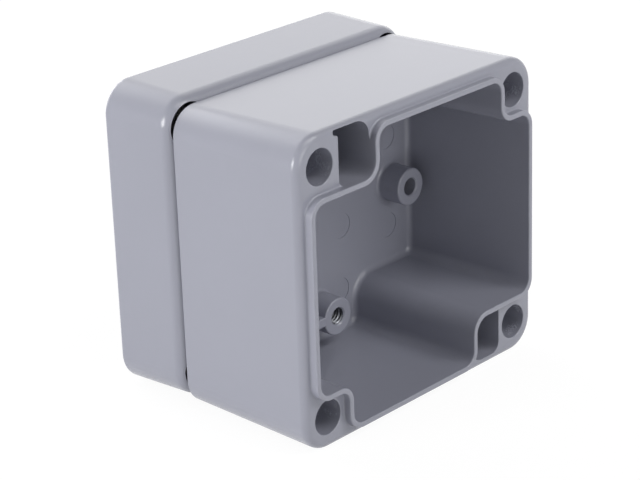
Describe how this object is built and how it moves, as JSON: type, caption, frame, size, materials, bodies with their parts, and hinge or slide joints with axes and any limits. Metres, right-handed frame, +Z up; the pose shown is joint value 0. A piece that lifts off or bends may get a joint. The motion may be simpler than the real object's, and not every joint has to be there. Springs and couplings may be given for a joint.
{
  "type": "aluminium enclosure",
  "caption": "Die-cast aluminium enclosure with its lid off: open base with sealing tongue, screw pillars and wall-mounting channels, and a lid with gasket and captive screws.",
  "frame": {"origin": "under the middle of the whole, on the surface that both halves stand on", "axes": "+X along the width of the open face, to the right seen from its front; -Y out of the open face of the base; +Z up"},
  "size_m": [0.0812, 0.0654, 0.0739],
  "materials": {
    "painted_casting": "smooth semi-gloss silver-grey paint on die-cast aluminium",
    "gasket_rubber": "matt black soft rubber",
    "screw_steel": "plain stainless steel, turned"
  },
  "bodies": {
    "root": {"base_casting": "painted_casting", "lid_casting": "painted_casting", "lid_gasket": "gasket_rubber", "lid_screw_1": "screw_steel", "lid_screw_2": "screw_steel", "lid_screw_3": "screw_steel", "lid_screw_4": "screw_steel"}
  },
  "joints": []
}
